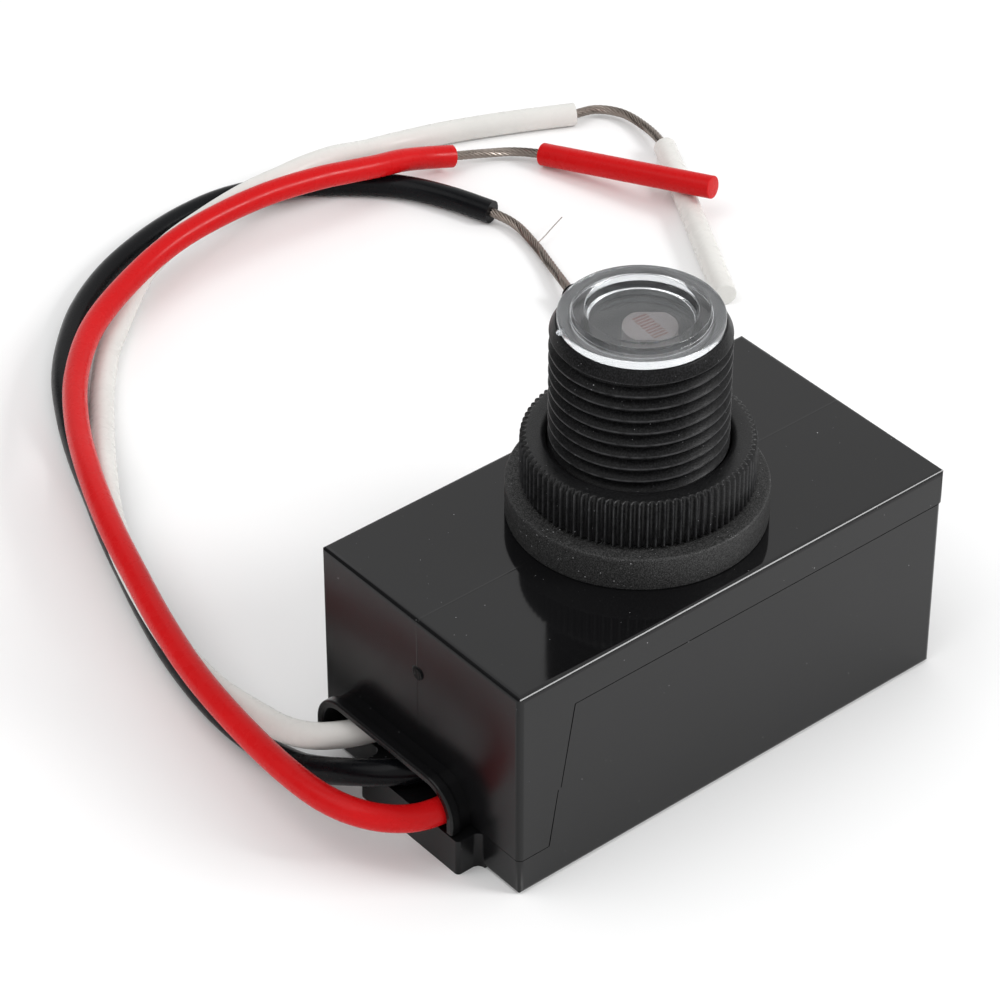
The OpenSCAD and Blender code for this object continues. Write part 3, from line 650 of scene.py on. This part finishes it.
class SWITCH_OT_leads(bpy.types.Operator):
    """Three insulated leads with twisted bare ends and the slid-off insulation on them"""

    bl_idname = "switch.leads"
    bl_label = "Leads"

    def execute(self, context):
        s, c = context.scene.switch_sizes, context.scene.switch_colours
        metal = material("tinned_copper", tinned_copper, tuple(c.copper))
        for name, lead in LEADS.items():
            sheath = material(f"sheath_{name}", insulation, tuple(getattr(c, name)), roughness=0.27)
            path = smooth_path(lead["route"], ROUTE_STEPS)
            cord = self.sheath(f"lead_{name}_sheath", path, s.lead_radius, sheath)
            strands = self.strands(f"lead_{name}_wires", lead, s, metal)
            tip = self.tip(f"lead_{name}_slug", lead["tip"], s, sheath)
            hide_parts(f"lead_{name}")
            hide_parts(f"lead_{name}_strands")
            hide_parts(f"lead_{name}_tip")
        return {"FINISHED"}

    def sheath(self, name, path, radius, sheath):
        """The insulation, as a round curve along the route."""
        curve = bpy.data.curves.new(name, "CURVE")
        curve.dimensions = "3D"
        curve.bevel_depth = radius
        curve.bevel_resolution = 6
        curve.use_fill_caps = True
        line = curve.splines.new("POLY")
        line.points.add(len(path) - 1)
        for point, place in zip(line.points, path):
            point.co = (*place, 1)
        line.use_smooth = True
        curve.materials.append(sheath)
        obj = bpy.data.objects.new(name, curve)
        bpy.context.scene.collection.objects.link(obj)
        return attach(obj, HOUSING)

    def strands(self, name, lead, s, metal):
        """Fine strands twisted round the bare stretch, which ends inside the slid-off tip."""
        a, b = (Vector(p) for p in lead["tip"])
        knots = [lead["route"][-1], *lead["bare"], tuple(a), tuple(a.lerp(b, 0.5))]
        path = smooth_path(knots, STRAND_STEPS)
        frames = frames_along(path)
        twist = 2 * math.pi / STRAND_LAY
        around = s.bundle_radius - s.strand_radius
        swell = 1.15
        bm = bmesh.new()
        for k in range(STRAND_COUNT):
            run = 0.0
            line = []
            for i, (point, (t, side, up)) in enumerate(zip(path, frames)):
                run += (point - path[i - 1]).length if i else 0
                turn = twist * run + 2 * math.pi * k / STRAND_COUNT
                line.append(point + around * (math.cos(turn) * side + math.sin(turn) * up))
            sweep(bm, line, s.strand_radius * swell, sides=8)
        sweep(bm, path, around, sides=8)
        if "stray" in lead:
            sweep(bm, smooth_path(lead["stray"], steps=8), 0.4 * s.strand_radius, sides=6)
        return make_piece(name, bm, metal, HOUSING)

    def tip(self, name, ends, s, sheath):
        """A short piece of insulation with softly cut ends and a hole for the strands in the first one."""
        a, b = (Vector(p) * MM for p in ends)
        length = (b - a).length
        axis = (b - a).normalized()
        place = Matrix.Translation(a) @ axis.to_track_quat("Z", "Y").to_matrix().to_4x4()
        r = s.lead_radius
        hole = s.bundle_radius + 0.05 * MM
        end = TIP_HOLE_SHARE * length
        cut = 0.12 * MM
        bm = bmesh.new()
        profile = rounded_profile([
            (0, end, 0), (hole, end, 0), (hole, 0, cut), (r, 0, cut), (r, length, cut), (0, length, 0)])
        revolve(bm, profile, segments=40, place=place)
        return make_piece(name, bm, sheath, HOUSING, sharp=60)


class SWITCH_OT_cover(bpy.types.Operator):
    """The cover with a helical thread on its neck, and the base"""

    bl_idname = "switch.cover"
    bl_label = "Cover and base"

    def execute(self, context):
        s, c = context.scene.switch_sizes, context.scene.switch_colours
        gloss = material("housing_gloss", moulded_gloss, c, mould_marks=True)
        cover = self.shell("cover_shell", "top_cover", gloss, neck_reach=s.crest_radius + 0.05 * MM)
        satin = material("neck_satin", moulded_satin, c, s.crest_radius, reach=0.07 * MM, specular=0.09)
        neck = self.neck(s, satin)
        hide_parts("top_cover")
        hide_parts("top_cover")
        base = self.shell("base_shell", "base", material("base_gloss", moulded_gloss, c))
        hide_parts("base")
        return {"FINISHED"}

    def shell(self, name, node, gloss, neck_reach=0.0):
        """A copy of a moulded solid; its neck comes off at the top face, where the washer hides the joint."""
        same_place = 0.0005 * MM
        bm = bmesh.new()
        bm.from_mesh(NODES[node].data)
        bmesh.ops.remove_doubles(bm, verts=bm.verts, dist=same_place)
        if neck_reach:
            on_neck = [f for f in bm.faces if all(v.co.xy.length < neck_reach for v in f.verts)]
            bmesh.ops.delete(bm, geom=on_neck, context="FACES")
            rims = [e for e in bm.edges if e.is_boundary]
            if not rims:
                raise RuntimeError("the cover's neck was not found")
            bmesh.ops.bridge_loops(bm, edges=rims)
        flat = math.radians(0.3)
        bmesh.ops.dissolve_limit(bm, angle_limit=flat, verts=bm.verts, edges=bm.edges)
        obj = make_piece(name, bm, gloss, HOUSING)
        even_normals(obj.data, limit=math.radians(40))
        return obj

    def neck(self, s, satin):
        """The neck's plain core and bevelled mouth, with one right-hand ridge wound round it."""
        root = s.crest_radius - s.thread_depth
        mouth = s.crest_radius - s.mouth_depth
        thread_foot = TOP_FACE + 1.2 * MM
        thread_top = NECK_TOP - s.land_height
        foot = TOP_FACE - 0.5 * MM
        profile = rounded_profile([
            (s.bore_radius, foot, 0), (root, foot, 0), (root, thread_top, 0.1 * MM),
            (s.crest_radius, thread_top + 0.12 * MM, 0.09 * MM), (mouth, NECK_TOP, 0.12 * MM),
            (s.bore_radius, NECK_TOP, 0.15 * MM)])
        bm = bmesh.new()
        revolve(bm, profile, ROUND_SEGMENTS, closed=True)
        self.ridge(bm, s, root, thread_foot, thread_top + 0.1 * MM)
        return make_piece("threaded_neck", bm, satin, HOUSING, sharp=32)

    def ridge(self, bm, s, root, z0, z1):
        """A trapezoid ridge swept along a helix, running out at both ends."""
        pitch, depth = s.thread_pitch, s.thread_depth
        half_root, half_crest = 0.46 * pitch, 0.06 * pitch
        flank = [
            (half_crest * 0.4, depth), (half_crest, 0.97 * depth), (half_crest + 0.06 * MM, 0.88 * depth),
            (half_root, 0.0), (half_root + 0.03 * MM, -0.1 * MM)]
        tooth = [(-along, height) for along, height in reversed(flank)] + flank
        per_turn = 120
        first, last = z0 + half_root, z1 - half_root
        count = int((last - first) / pitch * per_turn)
        run_out = per_turn // 5
        least = 0.02
        rings = []
        for i in range(count + 1):
            angle = 2 * math.pi * i / per_turn
            middle = first + pitch * i / per_turn
            ease = min(1, i / run_out, (count - i) / run_out)
            rise = least + (1 - least) * ease * ease * (3 - 2 * ease)
            ring = []
            for along, height in tooth:
                r = root + (height * rise if height > 0 else height)
                ring.append(bm.verts.new((r * math.cos(angle), r * math.sin(angle), middle + along)))
            rings.append(ring)
        for low, high in zip(rings, rings[1:]):
            for k in range(len(tooth)):
                n = (k + 1) % len(tooth)
                bm.faces.new((low[k], low[n], high[n], high[k]))
        bm.faces.new(list(reversed(rings[0])))
        bm.faces.new(rings[-1])


class SWITCH_OT_nut(bpy.types.Operator):
    """The knurled ring nut with round-ended ribs"""

    bl_idname = "switch.nut"
    bl_label = "Ring nut"

    def execute(self, context):
        s, c = context.scene.switch_sizes, context.scene.switch_colours
        outer = NUT_BOX[1].x
        satin = material("nut_satin", moulded_satin, c, outer, reach=0.15 * MM, specular=0.28)
        z0, z1 = NUT_BOX[0].z, NUT_BOX[1].z
        lip = 0.35 * MM
        # Each row: radius, height, and share of the ribs' depth
        rows = [
            (s.nut_bore, z0 + lip, 0), (s.nut_bore + lip, z0, 0), (outer - 0.5 * MM, z0, 0.2),
            (outer - 0.2 * MM, z0 + 0.06 * MM, 0.7), (outer, z0 + 0.3 * MM, 1), (outer, z1 - 0.5 * MM, 1),
            (outer - 0.03 * MM, z1 - 0.32 * MM, 1), (outer - 0.1 * MM, z1 - 0.17 * MM, 1),
            (outer - 0.22 * MM, z1 - 0.06 * MM, 0.8), (outer - 0.38 * MM, z1 - 0.01 * MM, 0.5),
            (outer - 0.62 * MM, z1, 0.1), (outer - 0.85 * MM, z1, 0),
            (s.nut_bore + 1.6 * lip, z1, 0), (s.nut_bore + lip, z1 - 0.08 * MM, 0),
            (s.nut_bore, z1 - lip, 0)]
        per_rib = 8
        sharpness = 1.8
        columns = s.rib_count * per_rib
        bm = bmesh.new()
        rings = []
        for radius, height, share in rows:
            ring = []
            for k in range(columns):
                wave = 0.5 + 0.5 * math.cos(2 * math.pi * k / per_rib)
                groove = 1 - wave ** sharpness
                angle = 2 * math.pi * k / columns
                r = radius - s.rib_depth * share * groove
                ring.append(bm.verts.new((r * math.cos(angle), r * math.sin(angle), height)))
            rings.append(ring)
        join_rings(bm, rings, closed=True)
        nut = make_piece("knurled_nut", bm, satin, NUT, sharp=60)
        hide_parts("ring_nut")
        return {"FINISHED"}


class SWITCH_OT_washer(bpy.types.Operator):
    """The rubber sealing washer under the nut"""

    bl_idname = "switch.washer"
    bl_label = "Sealing washer"

    def execute(self, context):
        s, c = context.scene.switch_sizes, context.scene.switch_colours
        rubber = material("washer_rubber", rubber_matte, c)
        outer, z0, z1 = WASHER_BOX[1].x, WASHER_BOX[0].z, WASHER_BOX[1].z
        profile = rounded_profile([
            (s.nut_bore, z0, 0.1 * MM), (outer, z0, 0.2 * MM), (outer, z1, 0.28 * MM),
            (s.nut_bore, z1, 0.15 * MM)], steps=6)
        bm = bmesh.new()
        revolve(bm, profile, ROUND_SEGMENTS, closed=True)
        washer = make_piece("rubber_washer", bm, rubber, HOUSING)
        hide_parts("sealing_washer")
        return {"FINISHED"}


class SWITCH_OT_cap(bpy.types.Operator):
    """The clear cap in the neck's mouth"""

    bl_idname = "switch.cap"
    bl_label = "Clear cap"

    def execute(self, context):
        s, c = context.scene.switch_sizes, context.scene.switch_colours
        outer, high = CAP_BOX[1].x, CAP_BOX[1].z
        milky = material("cap_milky", milky_clear, tuple(c.cap), outer)
        seat = NECK_TOP + 0.01 * MM
        flange = NECK_TOP + s.flange_height
        plug = s.bore_radius - 0.05 * MM
        ring_foot, ring_top = 6.42 * MM, 6.2 * MM
        window_top, window_foot = 5.15 * MM, 4.75 * MM
        floor = high - 1.3 * MM
        under = floor - 0.75 * MM
        profile = rounded_profile([
            (0, under, 0), (plug, under, 0.15 * MM), (plug, seat, 0.05 * MM), (outer, seat, 0.1 * MM),
            (outer, flange, 0.25 * MM), (ring_foot, flange, 0.1 * MM), (ring_top, high, 0.1 * MM),
            (window_top, high, 0.14 * MM), (window_foot, floor, 0.15 * MM), (0, floor, 0)], steps=5)
        bm = bmesh.new()
        revolve(bm, profile, ROUND_SEGMENTS)
        self.nub(bm, outer, (seat + flange) / 2)
        cap = make_piece("milky_cap", bm, milky, HOUSING, sharp=70)
        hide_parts("clear_cap")
        return {"FINISHED"}

    def nub(self, bm, rim, height):
        """The snapped-off moulding gate on the flange's rim."""
        out = Vector((math.cos(NUB_ANGLE), math.sin(NUB_ANGLE), 0))
        middle = out * rim + Vector((0, 0, height))
        path = [middle + out * x * MM for x in (-0.3, 0.1, 0.3, 0.42)]
        sweep(bm, path, radius=0.33 * MM, sides=10, taper=(1, 0.95, 0.8, 0.5))


class SWITCH_OT_cell(bpy.types.Operator):
    """The light cell's winding track and the finish of its disc"""

    bl_idname = "switch.cell"
    bl_label = "Light cell"

    def execute(self, context):
        c = context.scene.switch_colours
        ceramic = material("cell_ceramic", painted, tuple(c.cell), roughness=0.4)
        dress("light_cell", ceramic)
        middle = (CELL_BOX[0] + CELL_BOX[1]) / 2
        top = CELL_BOX[1].z
        askew = Matrix.Rotation(math.radians(-6), 4, "Z")
        place = Matrix.Translation((middle.x, middle.y, top)) @ askew
        runs, spacing, half_run, flatness = 9, 0.42, 0.75, 0.25
        points = []
        for k in range(runs):
            y = (k - (runs - 1) / 2) * spacing
            ends = (-half_run, half_run) if k % 2 else (half_run, -half_run)
            points += [(x, y, 0) for x in ends]
        path = [place @ (Vector(p) * MM) for p in points]
        bm = bmesh.new()
        sweep(bm, path, radius=0.13 * MM, sides=6)
        bmesh.ops.scale(bm, vec=(1, 1, flatness), space=Matrix.Translation((0, 0, -top)), verts=bm.verts)
        track = material("cell_track", painted, tuple(c.track), roughness=0.45)
        make_piece("cell_track", bm, track, HOUSING)
        return {"FINISHED"}


class SWITCH_OT_inside(bpy.types.Operator):
    """Finishes of the pieces that the housing hides"""

    bl_idname = "switch.inside"
    bl_label = "Inside pieces"

    def execute(self, context):
        slots = {m["slot"]: m for m in frame["record"]["materials"]}
        shown = {p["node"]: p["material_slot"] for p in frame["record"]["subparts"]}
        metal = material("tinned_copper", tinned_copper, tuple(context.scene.switch_colours.copper))
        for node, slot in shown.items():
            if NODES[node].hide_render or node == "light_cell":
                continue
            if slot == "tinned_wire":
                finish = metal
            else:
                colour = tuple(slots[slot]["base_color"][:3])
                finish = material(f"inside_{slot}", painted, colour, roughness=0.45)
            dress(node, finish)
        return {"FINISHED"}


class SWITCH_PT_panel(bpy.types.Panel):
    """Lists the pieces in the order in which they are made"""

    bl_idname = "SWITCH_PT_panel"
    bl_label = "Photocell switch"
    bl_space_type = "VIEW_3D"
    bl_region_type = "UI"
    bl_category = "Switch"

    def draw(self, context):
        for operator in OPERATORS:
            self.layout.operator(operator.bl_idname)
        for name in GROUPS:
            group = getattr(context.scene, name)
            box = self.layout.box()
            for prop in group.bl_rna.properties:
                if not prop.is_readonly and prop.identifier != "name":
                    box.prop(group, prop.identifier)


OPERATORS = (
    SWITCH_OT_stage, SWITCH_OT_leads, SWITCH_OT_cover, SWITCH_OT_nut, SWITCH_OT_washer, SWITCH_OT_cap,
    SWITCH_OT_cell, SWITCH_OT_inside)
GROUPS = {"switch_sizes": SwitchSizes, "switch_colours": SwitchColours, "switch_stage": StageSettings}


def register():
    for cls in (*GROUPS.values(), *OPERATORS, SWITCH_PT_panel):
        bpy.utils.register_class(cls)
    for name, group in GROUPS.items():
        setattr(bpy.types.Scene, name, PointerProperty(type=group))


def unregister():
    for name in GROUPS:
        delattr(bpy.types.Scene, name)
    for cls in reversed((*GROUPS.values(), *OPERATORS, SWITCH_PT_panel)):
        bpy.utils.unregister_class(cls)


def main():
    register()
    for operator in OPERATORS:
        family, name = operator.bl_idname.split(".")
        getattr(getattr(bpy.ops, family), name)()


if __name__ == "__main__":
    main()
